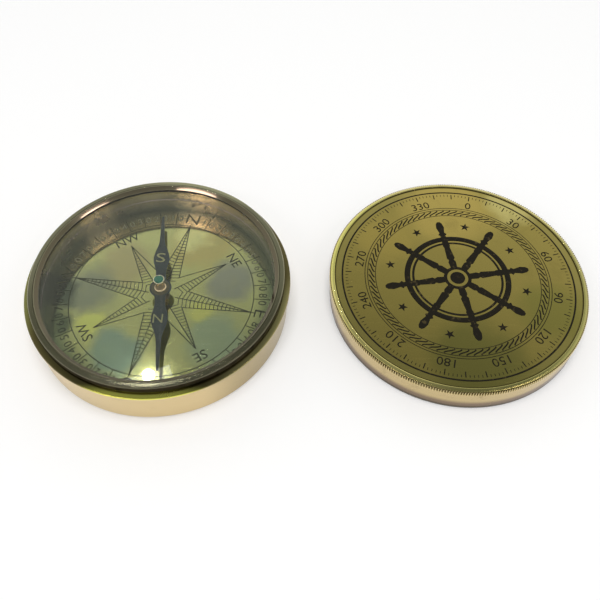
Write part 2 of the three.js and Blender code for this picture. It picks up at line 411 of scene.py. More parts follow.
def brass_finish(name, clean, dull, gloss, lines, line_depth, blotches, spread, worn):
    """A metal with turning lines, tarnish and worn edges.

    Gloss is the roughness of clean metal, and the depth of the lines is in thousandths of a mm.
    """
    tree, shader = new_finish(name)
    place = place_from(tree, centre_of(name))
    dulled = use_group(tarnish, place, Blotches_per_mm=blotches, Spread=spread)
    turned_marks = use_group(turning_lines, place, Lines_per_mm=lines)
    wear = maths("MULTIPLY", use_group(edge_wear, place), worn)
    metal = mix_colours(dulled, clean, dull)
    metal = mix_colours(between(turned_marks, 0.35, 0.75, 0.0, 0.18), metal, dull)
    metal = mix_colours(wear, metal, [min(1.0, part * 1.25) for part in clean])
    rough = maths("MULTIPLY_ADD", dulled, 0.12, gloss)
    set_inputs(shader, Metallic=1.0, Base_Color=metal, Roughness=rough)
    add_bump(shader, turned_marks, line_depth * 0.001 * MM)


for name, values in BRASS_FINISHES.items():
    brass_finish(name, *values)
set_inputs(finishes["hub_brass"].node_tree.nodes["Principled BSDF"], Metallic=0.85)
print("metal finishes:", len(BRASS_FINISHES))

# %% [markdown]
# Colours are laid over parts of a finish, and most of them are painted light and shade.
# The lid's wall and the sleeve are painted darker low down, and the case's wall on its right: painted shade.
# The ledge, the rims, the bevel and the lid's lip are painted lighter on one side, as painted highlights,
# and darker on another, as painted shade, and the hub's collar is a painted highlight. The slots between
# the reeding's teeth are darker, and a dark joint line runs round the inside of the lid's lip. This could
# be painted by hand on each piece, but a mask needs only two distances: along a heading over the table,
# from the axis, or from the table up. Each row names a finish, a mask and the colour that it lets through.

# %% Lay painted light and shade, and joint lines, over the metals
FRONT_ROUGHNESS = 0.45


def grime(name, find_mask, colour):
    """Lays a colour over a finish where a mask says so."""
    tree = finishes[name].node_tree
    base = tree.nodes["Principled BSDF"].inputs["Base Color"]
    mask = find_mask(place_from(tree, centre_of(name)))
    feed(base, mix_colours(mask, base.links[0].from_socket, colour))


def towards(heading, start, end):
    """A mask that rises from one distance to another, in mm, along a heading over the table."""

    def find_mask(place):
        along = maths("DOT_PRODUCT", place, (*heading, 0), kind="VectorMath", output="Value")
        return between(along, start * MM, end * MM)

    return find_mask


def at_radius(start, end):
    """A mask that rises from one radius to another, in mm."""
    return lambda place: between(radius_of(place)[0], start * MM, end * MM)


def at_height(start, end):
    """A mask that rises from one height to another, in mm."""
    return lambda place: between(radius_of(place)[1], start * MM, end * MM)


METAL_PAINTED_LIGHT_AND_JOINTS = [
    # The ledge: painted dark round the back, painted shade, and lighter at the right and the left, painted
    # highlights, so that its bright base colour stays only at the front as a painted highlight.
    ("ledge_brass", towards((0, 1), -36.9, -33.5), (0.13, 0.11, 0.045)),
    ("ledge_brass", towards((0.86, -0.5), 30, 36.5), (0.36, 0.32, 0.145)),
    ("ledge_brass", towards((-1, 0), 31, 36.5), (0.24, 0.24, 0.08)),
    # The case's wall is painted darker on its right side: painted shade.
    ("wall_brass", towards((0.9, -0.44), 28, 37), (0.42, 0.335, 0.18)),
    # The sleeve is painted darker low down and at the far left: painted shade.
    ("sleeve_brass", at_height(7.2, 5.0), (0.37, 0.31, 0.32)),
    ("sleeve_brass", towards((-0.8, 0.6), 24, 33), (0.30, 0.25, 0.25)),
    # The lid's lip is painted darker at the right front, painted shade, and lighter at the left and
    # brightest at the left front, painted highlights. The last row is a dark joint line on its inner edge.
    ("lid_rim_brass", towards((0.8, -0.6), 8, 26), (0.50, 0.46, 0.17)),
    ("lid_rim_brass", towards((-1, 0), 14, 34), (0.82, 0.76, 0.24)),
    ("lid_rim_brass", towards((-0.78, -0.62), 26, 35), (1.0, 0.87, 0.34)),
    ("lid_rim_brass", at_radius(36.62, 36.52), (0.20, 0.17, 0.06)),
    # The bevel is painted lighter on its far side: a painted highlight.
    ("bevel_brass", towards((-0.25, 1), 24, 29), (0.28, 0.235, 0.17)),
    # The rim and the ring are painted lighter on their far side: a painted highlight.
    ("rim_brass", towards((0.25, 1), 31, 36), (0.48, 0.46, 0.30)),
    ("ring_brass", towards((0.25, 1), 31, 36), (0.48, 0.46, 0.30)),
    # The rim is painted darker on its near side: painted shade.
    ("rim_brass", towards((0, -1), 0, 16), (0.17, 0.16, 0.105)),
    # The hub's collar round the stone is painted near-white: a painted highlight.
    ("hub_brass", at_height(11.6, 11.9), (0.97, 0.95, 0.68)),
    ("reeding_brass", at_radius(37.95, 37.8), (0.19, 0.145, 0.045)),
    # The lid's wall is painted darker low down and near-black at its foot: painted shade near the table.
    ("lid_wall_brass", at_height(4.3, 2.2), (0.25, 0.18, 0.12)),
    ("lid_wall_brass", at_height(2.0, 0.6), (0.10, 0.082, 0.056)),
]
for row in METAL_PAINTED_LIGHT_AND_JOINTS:
    grime(*row)
tree = finishes["bevel_brass"].node_tree
roughness = tree.nodes["Principled BSDF"].inputs["Roughness"]
front = towards((0, -1), 8, 34)(place_from(tree, CASE_CENTRE))
matt = maths("MULTIPLY", front, FRONT_ROUGHNESS)
feed(roughness, maths("MAXIMUM", roughness.links[0].from_socket, matt))
print("grime:", len(METAL_PAINTED_LIGHT_AND_JOINTS), "layers")

# %% [markdown]
# The dial and the lid's face are polished flats, and their finish is made of what they reflect plus painted
# reflections. The dial is yellow-green brass with cool, bluish patches and warmer ones, all painted
# reflections, and it darkens towards the rim, painted shade; it isn't quite flat, so its reflections swim a
# little. The lid's face is a browner gold with tarnish blotches, painted reflections that are lighter on the
# far side and darker on the near side, and a darker olive border. Both get hairlines, which catch the lamps.

# %% Mix the polished flats and the inks
PATCH_DRIFT = 9.0


def polished_finish(name, level, metal_colour, painted_reflections, gloss, ripple, edge):
    """A mirror with clouded patches of painted reflection, long ripples, hairlines and an edge of another
    colour.

    A painted reflection is (place, reach, colour), with its place and reach in mm from the piece's axis, on
    a face at the given level. The edge is (start, end, colour) with radii in mm; on the dial it is painted
    shade.
    """
    tree, shader = new_finish(name)
    place = place_from(tree, centre_of(name))
    swirl = new_node(tree, "TexNoise", Vector=place, Scale=110.0, Detail=3.0).outputs["Color"]
    drift = (PATCH_DRIFT * MM, PATCH_DRIFT * MM, 0)
    clouded = maths("MULTIPLY_ADD", swirl, drift, place, kind="VectorMath")
    edge_start, edge_end, edge_colour = edge
    metal = mix_colours(at_radius(edge_start, edge_end)(place), metal_colour, edge_colour)
    for (across, along), reach, colour in painted_reflections:
        middle = Vector((across + PATCH_DRIFT / 2, along + PATCH_DRIFT / 2, level)) * MM
        distance = maths("DISTANCE", clouded, middle, kind="VectorMath", output="Value")
        cloud = between(distance, reach * 1.25 * MM, reach * 0.55 * MM)
        metal = mix_colours(cloud, metal, colour)
    mottled = use_group(tarnish, place, Blotches_per_mm=0.16, Spread=0.5)
    shade = [part * 0.6 for part in metal_colour]
    metal = mix_colours(maths("MULTIPLY", mottled, 0.22), metal, shade)
    scratched = use_group(hairlines, place, Lines_per_mm=3.0)
    rough = maths("MULTIPLY_ADD", scratched, 0.08, maths("MULTIPLY_ADD", mottled, 0.05, gloss))
    set_inputs(shader, Metallic=1.0, Base_Color=metal, Roughness=rough)
    add_bump(shader, noise(place, 45.0, 1.0), ripple * MM)


def ink_finish(name, colour, speckle):
    """Black filling in etched lines: matt, with a little brass showing where it has rubbed away."""
    tree, shader = new_finish(name)
    rubbed = between(noise(place_from(tree, CASE_CENTRE), 700.0, 4.0), 0.58, 0.72)
    rough = between(rubbed, 0.0, 1.0, 0.55, 0.35)
    ink = mix_colours(rubbed, colour, speckle)
    set_inputs(shader, Base_Color=ink, Roughness=rough, Specular_IOR_Level=0.12)


# Painted reflections on the dial: cool and warm patches, bright yellow spots and dark ones at the left edge.
dial_reflections = [
    ((-12.0, 12.0), 9.0, (0.66, 0.58, 0.29)),
    ((10.0, 20.0), 11.0, (0.74, 0.63, 0.25)),
    ((-22.0, 2.0), 9.0, (0.42, 0.43, 0.29)),
    ((20.0, 5.0), 8.0, (0.47, 0.47, 0.36)),
    ((-20.0, -11.0), 5.0, (1.0, 1.0, 0.30)),
    ((-11.0, -20.0), 8.0, (0.46, 0.58, 0.42)),
    ((18.0, -16.0), 9.0, (0.58, 0.66, 0.41)),
    ((13.0, -5.5), 4.0, (0.92, 0.90, 0.29)),
    ((7.0, 23.0), 6.5, (1.0, 0.93, 0.42)),
    ((-31.0, 1.0), 7.5, (0.13, 0.15, 0.10)),
    ((-30.0, -10.0), 5.0, (0.17, 0.20, 0.11)),
]
# Painted reflections on the lid's face: lighter on the far side, darker on the near side.
face_reflections = [
    ((0.0, 27.0), 15.0, (0.66, 0.50, 0.145)),
    ((-20.0, 14.0), 9.0, (0.56, 0.43, 0.12)),
    ((2.0, -29.0), 14.0, (0.33, 0.29, 0.085)),
    ((26.0, -12.0), 10.0, (0.38, 0.33, 0.09)),
    ((20.5, 29.0), 8.0, (0.80, 0.68, 0.26)),
]
# The dial darkens from the ring line out to its rim: painted shade.
dial_edge = (27.0, 33.5, (0.21, 0.25, 0.135))
face_edge = (34.05, 34.45, (0.47, 0.39, 0.125))
polished_finish("dial_polish", DIAL_LEVEL, (0.74, 0.73, 0.32), dial_reflections, 0.09, 0.04, dial_edge)
polished_finish("face_polish", FACE_LEVEL, (0.48, 0.38, 0.11), face_reflections, 0.16, 0.03, face_edge)
grime("face_polish", at_radius(36.0, 36.25), (0.18, 0.15, 0.045))
ink_finish("dial_ink", (0.030, 0.032, 0.015), (0.08, 0.08, 0.04))
ink_finish("number_ink", (0.030, 0.032, 0.017), (0.08, 0.08, 0.04))
# The numbers are painted lighter towards the far side: a painted reflection that veils them.
grime("number_ink", towards((0, 1), 4, 16), (0.165, 0.165, 0.10))
ink_finish("face_ink", (0.012, 0.010, 0.006), (0.06, 0.045, 0.018))
print("flats:", len(dial_reflections), "stains on the dial,", len(face_reflections), "on the lid's face")

# %% [markdown]
# The glass, the stone and the needle's steel each have a finish of their own.
# Glass would throw a dark shadow on the dial, so shadow rays pass straight through it, and faint smears
# keep it from looking empty. The stone is a veined green under a clear coat. The steel is blued almost to
# black, and browner round the hub, where it was heated.

# %% Mix the glass, the stone and the steel
tree, shader = new_finish("clear_glass")
smear = use_group(tarnish, place_from(tree, CASE_CENTRE), Blotches_per_mm=0.08, Spread=0.4)
set_inputs(shader, Base_Color=(0.97, 0.985, 0.975), Transmission_Weight=1.0, IOR=1.48)
set_inputs(shader, Roughness=between(smear, 0.0, 1.0, 0.0, 0.03))
shadow_ray = new_node(tree, "LightPath").outputs["Is Shadow Ray"]
clear = new_node(tree, "BsdfTransparent").outputs[0]
let_light_in = new_node(tree, "MixShader")
for socket, source in zip(let_light_in.inputs, (shadow_ray, shader.outputs[0], clear)):
    feed(socket, source)
feed(tree.nodes["Material Output"].inputs["Surface"], let_light_in.outputs[0])

tree, shader = new_finish("green_stone")
veins = between(noise(place_from(tree, CASE_CENTRE), 1600.0, 4.0, 0.6, 0.8), 0.4, 0.65)
stone = mix_colours(veins, (0.006, 0.085, 0.045), (0.03, 0.18, 0.11))
set_inputs(shader, Base_Color=stone, Roughness=between(veins, 0.0, 1.0, 0.06, 0.16))
set_inputs(shader, Coat_Weight=0.6, Coat_Roughness=0.03)

tree, shader = new_finish("blued_steel")
place = place_from(tree, CASE_CENTRE)
stain = use_group(tarnish, place, Blotches_per_mm=0.35, Spread=0.5)
wear = maths("MULTIPLY", use_group(edge_wear, place), 0.5)
steel = mix_colours(stain, (0.030, 0.040, 0.040), (0.020, 0.025, 0.031))
steel = mix_colours(at_radius(3.0, 2.5)(place), steel, (0.085, 0.078, 0.04))
steel = mix_colours(wear, steel, (0.09, 0.095, 0.085))
set_inputs(shader, Metallic=0.5, Base_Color=steel, Roughness=between(stain, 0.0, 1.0, 0.30, 0.42))
add_bump(shader, noise(place, 5000.0, 2.0), 0.004 * MM)
print("finishes in all:", len(finishes))

# %% [markdown]
# Nearly every piece came off a lathe, so nearly every piece is drawn as half a section and spun.
# The section starts as a plane merged into one vertex, which is extruded from point to point, as with E
# and a click. Spinning it a full turn leaves a seam, so doubles are merged and the normals are turned
# outwards. A bevel modifier then breaks the edges, because a perfectly sharp edge would catch no light,
# and weighted normals keep the flats flat, which matters on mirrors.

# %% Define the lathe
FULL_TURN = 2 * math.pi
LARGE_STEPS = 256
SMALL_STEPS = 64
MERGE_DISTANCE = 0.0005 * MM
SHARP = math.radians(30)


def pick(piece):
    """Selects one piece alone and makes it the active one."""
    deselect_all()
    piece.select_set(True)
    bpy.context.view_layer.objects.active = piece


def edit_all():
    """Enters edit mode and selects everything in the active piece."""
    bpy.ops.object.mode_set(mode="EDIT")
    bpy.ops.mesh.select_all(action="SELECT")


def start_with_one_point(name, place):
    """A small plane merged into one vertex at its place, left in edit mode."""
    deselect_all()
    bpy.ops.mesh.primitive_plane_add(size=MM, location=(0, 0, 0))
    piece = bpy.context.object
    piece.name = piece.data.name = name
    edit_all()
    bpy.ops.mesh.select_mode(type="VERT")
    bpy.ops.mesh.merge(type="CENTER")
    bpy.ops.transform.translate(value=place)
    return piece


def draw_on(points):
    """Extrudes the selected vertex from point to point."""
    for here, there in zip(points, points[1:]):
        step = Vector(there) - Vector(here)
        bpy.ops.mesh.extrude_vertices_move(TRANSFORM_OT_translate={"value": step})


def clean_up():
    """Merges doubles and turns all faces outwards, in edit mode, then leaves it."""
    bpy.ops.mesh.select_all(action="SELECT")
    bpy.ops.mesh.remove_doubles(threshold=MERGE_DISTANCE)
    bpy.ops.mesh.normals_make_consistent(inside=False)
    bpy.ops.object.mode_set(mode="OBJECT")


def apply_modifier(piece, kind, **settings):
    """Adds one modifier to the active piece, sets it and applies it."""
    bpy.ops.object.modifier_add(type=kind)
    modifier = piece.modifiers[-1]
    for key, value in settings.items():
        setattr(modifier, key, value)
    bpy.ops.object.modifier_apply(modifier=modifier.name)


def break_edges(piece, width):
    """Bevels every sharp edge and smooths the rest."""
    apply_modifier(piece, "BEVEL", width=width, segments=2, limit_method="ANGLE", angle_limit=SHARP)
    bpy.ops.object.shade_smooth_by_angle(angle=SHARP + math.radians(5))
    apply_modifier(piece, "WEIGHTED_NORMAL", keep_sharp=True)


def arc(radius_at, height_at, bend, start, end, steps=6):
    """Points of a rounding in a section, from one angle to another in degrees."""
    angles = [math.radians(start + (end - start) * index / steps) for index in range(steps + 1)]
    return [(radius_at + bend * math.cos(angle), height_at + bend * math.sin(angle)) for angle in angles]


def upright(section):
    """A section of (radius, height) in mm as points in metres."""
    return [(radius_at * MM, 0, height_at * MM) for radius_at, height_at in section]


def turned(name, section, steps=LARGE_STEPS, closed=False, edge=0.08):
    """Draws a section of (radius, height) in mm and spins it round the upright axis."""
    points = upright(section)
    piece = start_with_one_point(name, points[0])
    draw_on(points + points[:1] if closed else points)
    bpy.ops.mesh.select_all(action="SELECT")
    bpy.ops.mesh.spin(steps=steps, angle=FULL_TURN, center=(0, 0, 0), axis=(0, 0, 1))
    clean_up()
    if edge:
        break_edges(piece, edge * MM)
    return piece


print("lathe ready,", LARGE_STEPS, "steps round a large piece")

# %% [markdown]
# A finished piece still needs its place, its finishes and its body.
# Pieces of the lid are modelled round the origin, where spinning is easy, and moved afterwards. Where one
# piece wears in several ways, its faces are sorted by radius and level. They could be picked by hand, but
# a rule in mm survives a change of the section.

# %% Define how a piece is placed and dressed
FAR = 100.0
ANY = (-1.0, FAR)


def move_into_place(piece, place):
    """Moves a piece that was modelled round the origin, and puts the place into its mesh."""
    pick(piece)
    piece.location = place
    bpy.ops.object.transform_apply(location=True, rotation=True, scale=True)


def dress(piece, body, slot, *names):
    """Gives a piece its finishes and its moving body; its slot is not used."""
    for name in names:
        piece.data.materials.append(finishes[name])
    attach(piece, body)
    corners = [vertex.co for vertex in piece.data.vertices]
    spans = [round((max(part) - min(part)) / MM, 2) for part in zip(*corners)]
    print(piece.name, "faces:", len(piece.data.polygons), "size mm:", spans)


def paint_faces(piece, finish_index, radii=ANY, levels=ANY):
    """Gives one of the piece's finishes to the faces between two radii and two levels in mm."""
    for face in piece.data.polygons:
        from_axis = math.hypot(face.center.x, face.center.y) / MM
        if radii[0] < from_axis < radii[1] and levels[0] < face.center.z / MM < levels[1]:
            face.material_index = finish_index


print("finishes to give out:", len(finishes))

# %% [markdown]
# The case is one turned cup: a plain wall, a chamfer out to a shoulder that stops the lid, and a threaded
# spigot. It could be cut from a cylinder with insets and extrusions, but a section holds all its steps in
# one list. The spigot's wall lies at the root of the thread here, and the thread is laid on it as a
# ridge. Wall, ledge, thread and rim get different finishes, and the thread's near-black is painted shade.

# %% Turn the case
CUP_FLOOR = 3.5
SHOULDER_TOP = 12.75
RIM_TOP = 15.4
BORE = 34.9
THREAD_ROOT = 36.15
THREAD_CREST = 36.4
LEDGE_LOW, THREAD_LOW, RIM_LOW = 12.1, SHOULDER_TOP + 0.05, 15.05
case_section = [(0, 0), (30.0, 0), (30.4, 0.25), (32.6, 0.25), (33.0, 0)]
case_section += arc(36.0, 1.0, 1.0, -90, 0) + [(37.0, 10.25), (38.0, 11.25)]
case_section += arc(37.65, SHOULDER_TOP - 0.6, 0.35, 0, 75)
case_section += [(36.95, SHOULDER_TOP), (THREAD_ROOT, SHOULDER_TOP), (THREAD_ROOT, 14.5)]
case_section += [(THREAD_CREST, 14.75), (THREAD_CREST, 15.15), (36.15, RIM_TOP)]
case_section += [(BORE, RIM_TOP), (BORE, CUP_FLOOR), (0, CUP_FLOOR)]
case_body = turned("case_body", case_section)
dress(case_body, "case", "case_brass", "wall_brass", "ledge_brass", "thread_brass", "rim_brass")
paint_faces(case_body, 1, (36.1, FAR), (LEDGE_LOW, THREAD_LOW))
paint_faces(case_body, 2, (36.0, FAR), (THREAD_LOW, RIM_LOW))
paint_faces(case_body, 3, ANY, (RIM_LOW, FAR))
paint_faces(case_body, 2, (-1, BORE + 0.095), (15.0, RIM_TOP - 0.002))
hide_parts("case_base")

# %% [markdown]
# The thread is a ridge that climbs round the spigot, so it is a small triangle carried up by a Screw
# modifier. A stack of plain rings would look the same from far away, but a thread that doesn't climb
# holds no lid. Its two open ends are filled.

# %% Cut the spigot's thread
THREAD_PITCH = 0.75
RIDGE_SHARE = 0.42
THREAD_STEPS = 160


def thread_ridge(name, root, crest, start, turns):
    """A helical ridge with a three-cornered section, from a root radius to a crest radius in mm."""
    half = THREAD_PITCH * RIDGE_SHARE
    points = upright([(root, start - half), (crest, start), (root, start + half)])
    piece = start_with_one_point(name, points[0])
    draw_on(points + points[:1])
    clean_up()
    apply_modifier(
        piece, "SCREW", axis="Z", angle=FULL_TURN, screw_offset=THREAD_PITCH * MM, iterations=turns,
        steps=THREAD_STEPS, render_steps=THREAD_STEPS, use_merge_vertices=False,
    )
    edit_all()
    bpy.ops.mesh.remove_doubles(threshold=MERGE_DISTANCE)
    bpy.ops.mesh.select_all(action="DESELECT")
    bpy.ops.mesh.select_non_manifold()
    bpy.ops.mesh.edge_face_add()
    clean_up()
    bpy.ops.object.shade_smooth_by_angle(angle=SHARP)
    return piece


spigot_thread = thread_ridge("spigot_thread", THREAD_ROOT - 0.04, THREAD_CREST, 13.12, 2)
dress(spigot_thread, "case", "case_brass", "thread_brass")

# %% [markdown]
# The dial is a flat polished disc with a hole for the pivot's bush, held down by a sleeve that also
# carries the glass. The glass is a plain ground disc with a fine bevel, and a thin bevelled ring snaps in
# above it. All of them share the case's bore, so each is spun round the same axis.

# %% Turn the dial, the sleeve, the glass and the ring
FIT = 34.8
BUSH_HOLE = 1.6
SLEEVE_BORE = 33.6
SLEEVE_GROOVE = 33.72
GLASS_BOTTOM = 13.0
RING_BORE, RING_OUTER, RING_TOP = 33.55, 34.86, 15.34
dial_section = [(BUSH_HOLE, CUP_FLOOR), (FIT, CUP_FLOOR), (FIT, DIAL_LEVEL), (BUSH_HOLE, DIAL_LEVEL)]
dial_disc = turned("dial_disc", dial_section, closed=True, edge=0.05)
dress(dial_disc, "case", "dial_brass", "dial_polish")
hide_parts("dial_plate")

sleeve_section = [(SLEEVE_BORE, DIAL_LEVEL), (FIT, DIAL_LEVEL), (FIT, GLASS_BOTTOM)]
sleeve_section += [(SLEEVE_BORE, GLASS_BOTTOM), (SLEEVE_BORE, 9.75)]
sleeve_section += [(SLEEVE_GROOVE, 9.65), (SLEEVE_GROOVE, 9.35), (SLEEVE_BORE, 9.25)]
spacer_sleeve = turned("spacer_sleeve", sleeve_section, closed=True, edge=0.06)
dress(spacer_sleeve, "case", "spacer_brass", "sleeve_brass")
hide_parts("spacer_ring")

glass_section = [(0, GLASS_BOTTOM), (34.5, GLASS_BOTTOM), (FIT, 13.3)]
glass_section += [(FIT, 14.1), (34.5, GLASS_TOP), (0, GLASS_TOP)]
crystal = turned("crystal", glass_section, edge=0)
bpy.ops.object.shade_smooth_by_angle(angle=math.radians(20))
dress(crystal, "case", "clear_glass", "clear_glass")
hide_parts("glass")

ring_section = [(RING_BORE, GLASS_TOP), (RING_OUTER, GLASS_TOP), (RING_OUTER, RING_TOP)]
ring_section += [(34.55, RING_TOP), (RING_BORE, 14.5)]
bezel_ring = turned("bezel_ring", ring_section, closed=True, edge=0.06)
dress(bezel_ring, "case", "ring_brass", "ring_brass", "bevel_brass", "thread_brass")
paint_faces(bezel_ring, 1, (-1, 34.53), (14.52, RING_TOP - 0.01))
paint_faces(bezel_ring, 2, (34.795, FAR), (-1, RING_TOP - 0.002))
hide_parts("retaining_ring")

# %% [markdown]
# The dial's lines are etched and filled with black: a ring, a star of eight points, degree ticks, numbers
# and letters. They could be a painted texture, but drawn lines stay sharp at any distance and reach the
# exported mesh. Each line is a curve with a round bevel, made a mesh and flattened, so that only a thin
# film stands on the brass. The dial lies turned in its case, so every angle is counted clockwise from its
# own north.

# %% Define pens for lines, words and flat shapes
DIAL_NORTH = 78.0
INK_FILM = 0.02 * MM
CAP_SHARE = 0.73


def on_dial(clockwise, reach):
    """A point in mm at an angle clockwise from the dial's north."""
    angle = math.radians(DIAL_NORTH - clockwise)
    return Vector((reach * math.cos(angle), reach * math.sin(angle), 0))


def ink_lines(name, strokes, width, closed=False):
    """Strokes in mm, drawn with one width, as one flat mesh at height zero."""
    curve = bpy.data.curves.new(name, "CURVE")
    curve.dimensions = "3D"
    curve.bevel_depth = width * MM / 2
    curve.bevel_resolution = 1
    curve.use_fill_caps = True
    for stroke in strokes:
        spline = curve.splines.new("POLY")
        spline.points.add(len(stroke) - 1)
        spline.use_cyclic_u = closed
        for point, place in zip(spline.points, stroke):
            point.co = (place[0] * MM, place[1] * MM, 0, 1)
    pick(add_object(name, curve))
    bpy.ops.object.convert(target="MESH")
    edit_all()
    flatness = 2 * INK_FILM / (width * MM)
    bpy.ops.transform.resize(value=(1, 1, flatness), center_override=(0, 0, 0))
    bpy.ops.object.mode_set(mode="OBJECT")
    return bpy.context.object


def ink_word(word, cap_height, place, turn, thinner=0.0, stretch=1.0):
    """A word in mm, centred on a place and turned in degrees, as a flat mesh."""
    deselect_all()
    bpy.ops.object.text_add(location=(0, 0, 0))
    text = bpy.context.object
    text.data.body = word
    text.data.size = cap_height * MM / CAP_SHARE
    text.data.offset = -thinner * MM
    text.data.extrude = INK_FILM
    text.data.resolution_u = 3
    bpy.ops.object.convert(target="MESH")
    bpy.ops.object.origin_set(type="ORIGIN_GEOMETRY", center="BOUNDS")
    text = bpy.context.object
    text.location = Vector(place) * MM
    text.rotation_euler = (0, 0, math.radians(turn))
    text.scale.x = stretch
    bpy.ops.object.transform_apply(location=True, rotation=True, scale=True)
    return text


def join_all(name, pieces):
    """Joins pieces into the first one."""
    deselect_all()
    for piece in pieces:
        piece.select_set(True)
    bpy.context.view_layer.objects.active = pieces[0]
    bpy.ops.object.join()
    pieces[0].name = pieces[0].data.name = name
    return pieces[0]


def circle_stroke(reach, points=180):
    """A circle as one closed stroke in mm."""
    return arc(0, 0, reach, 0, 360, points)[:-1]


def filled(name, outline, level):
    """A flat face with an outline in mm at a level in metres, left in edit mode with everything selected."""
    points = [(across * MM, along * MM, level) for across, along in outline]
    piece = start_with_one_point(name, points[0])
    draw_on(points)
    bpy.ops.mesh.select_all(action="SELECT")
    bpy.ops.mesh.edge_face_add()
    return piece


def thicken(height):
    """Extrudes the selected face upwards and closes the shape."""
    bpy.ops.mesh.extrude_region_move(TRANSFORM_OT_translate={"value": (0, 0, height)})
    clean_up()


def eased(part):
    """A smooth step from 0 to 1, level at both ends."""
    return part * part * (3 - 2 * part)


print("pens ready, film", INK_FILM / MM, "mm")

# %% [markdown]
# The star is a regular one. The four main points reach the ring and are hatched on both halves; the four
# between are shorter and hatched on the half that faces east or west. A hatching rung starts on the
# point's middle line and leans a little towards the tip, and it ends where it meets the outline, which is
# worked out from the two lines' crossing.

# %% Etch the star
RING_REACH = 27.2
MAIN_TIP = 27.15
SHORT_TIP = 21.7
VALLEY_REACH = 7.7
HUB_REACH = 4.0
RUNG_LEAN = 12.0
LINE_WIDTH = 0.27
HATCH_WIDTH = LINE_WIDTH * 0.85
HALF_POINT = 22.5
TIP_CLEAR = 1.4
MAIN_PITCH = 1.2
SHORT_PITCH = 1.1


def star_half(bearing, tip_reach, side, pitch):
    """The outline of one half of a point, and the rungs that hatch it. Side is 1 for clockwise."""
    tip = on_dial(bearing, tip_reach)
    valley = on_dial(bearing + side * HALF_POINT, VALLEY_REACH)
    lean = on_dial(bearing + side * (90 - RUNG_LEAN), RING_REACH)
    rungs = []
    reach = HUB_REACH + pitch
    while pitch and reach < tip_reach - TIP_CLEAR:
        start = on_dial(bearing, reach)
        hits = [intersect_line_line_2d(start, start + lean, valley, end) for end in (tip, CASE_CENTRE)]
        rungs += [[start, hit] for hit in hits if hit]
        reach += pitch
    return [tip, valley], rungs


outlines = []
hatching = []
for index in range(8):
    bearing = 45 * index
    main = index % 2 == 0
    tip_reach = MAIN_TIP if main else SHORT_TIP
    outlines.append([on_dial(bearing, HUB_REACH), on_dial(bearing, tip_reach)])
    for side in (1, -1):
        faces_east_west = abs(math.sin(math.radians(bearing + side))) > abs(math.sin(math.radians(bearing)))
        pitch = MAIN_PITCH if main else (SHORT_PITCH if faces_east_west else 0)
        outline, rungs = star_half(bearing, tip_reach, side, pitch)
        outlines.append(outline)
        hatching += rungs
star_outline = ink_lines("star_outline", outlines, LINE_WIDTH)
star_hatching = ink_lines("star_hatching", hatching, HATCH_WIDTH)
dial_star = join_all("dial_star", [star_outline, star_hatching])
DIAL_TOP = Vector((0, 0, DIAL_LEVEL)) * MM
move_into_place(dial_star, DIAL_TOP)
dress(dial_star, "case", "dial_brass", "dial_ink")
print("rungs:", len(hatching))

# %% [markdown]
# The scale counts in quarters, as on a surveyor's dial: from 10 to 80 both ways from north and from
# south. Each tick crosses the band and stands between its number's two digits. The quarter letters stand
# in the band, and the letters between them stand inside the ring.

# %% Etch the ring, the ticks, the numbers and the letters
BAND_OUTER = 32.05
QUARTER_TICK = 28.5
DIGIT_REACH = 29.9
DIGIT_SPREAD = 2.55
DIGIT_HEIGHT = 2.5
RING_WIDTH = 0.26
WORDS = ("N", "NE", "E", "SE", "S", "SW", "W", "NW")
QUARTER_LETTERS = (30.1, 4.0, 0.03, 1.2)  # reach, height, thinner by, stretch
HALF_LETTERS = (24.4, 3.1, 0.0, 1.0)
ring_line = ink_lines("ring_line", [circle_stroke(RING_REACH)], RING_WIDTH, closed=True)
tick_strokes = []
digits = []
for step_index in range(36):
    bearing = 10 * step_index
    folded = bearing % 180
    degrees = folded if folded <= 90 else 180 - folded
    if degrees % 90 == 0:
        tick_strokes.append([on_dial(bearing, RING_REACH), on_dial(bearing, QUARTER_TICK)])
        continue
    tick_strokes.append([on_dial(bearing, RING_REACH), on_dial(bearing, BAND_OUTER)])
    for digit, offset in zip(str(degrees), (-DIGIT_SPREAD, DIGIT_SPREAD)):
        place = on_dial(bearing + offset, DIGIT_REACH)
        digits.append(ink_word(digit, DIGIT_HEIGHT, place, DIAL_NORTH - 90 - bearing - offset))
ticks = ink_lines("ticks", tick_strokes, LINE_WIDTH)
letters = []
for index, word in enumerate(WORDS):
    bearing = 45 * index
    reach, cap_height, thinner, stretch = QUARTER_LETTERS if len(word) == 1 else HALF_LETTERS
    turn = DIAL_NORTH - 90 - bearing
    letters.append(ink_word(word, cap_height, on_dial(bearing, reach), turn, thinner, stretch))
dial_scale = join_all("dial_scale", [ring_line, ticks])
dial_numbers = join_all("dial_numbers", digits)
dial_letters = join_all("dial_letters", letters)
for piece in (dial_scale, dial_numbers, dial_letters):
    move_into_place(piece, DIAL_TOP)
    dress(piece, "case", "dial_brass", "number_ink" if piece is dial_numbers else "dial_ink")

# %% [markdown]
# The needle is a leaf-shaped blade stamped from thin steel and blued, riveted under a turned brass hub
# with a green stone cup in it. Half of the blade's outline is drawn and filled, a Mirror modifier makes
# the other half, and the face is extruded to the sheet's thickness. The hub's flare and the stone's dome
# are spun. All three turn together.

# %% Stamp the blade and turn its hub
NEEDLE_HEADING = 185.5
BLADE_BOTTOM = 7.9
BLADE_TOP = 8.3
BLADE_REACH = 27.4
DISC_RADIUS, HOLE_RADIUS = 3.2, 1.2
NECK, LOBE, SHAFT, TIP = (1.5, 5.5), (2.4, 10.6), (0.75, 18.0), (0.35, BLADE_REACH)


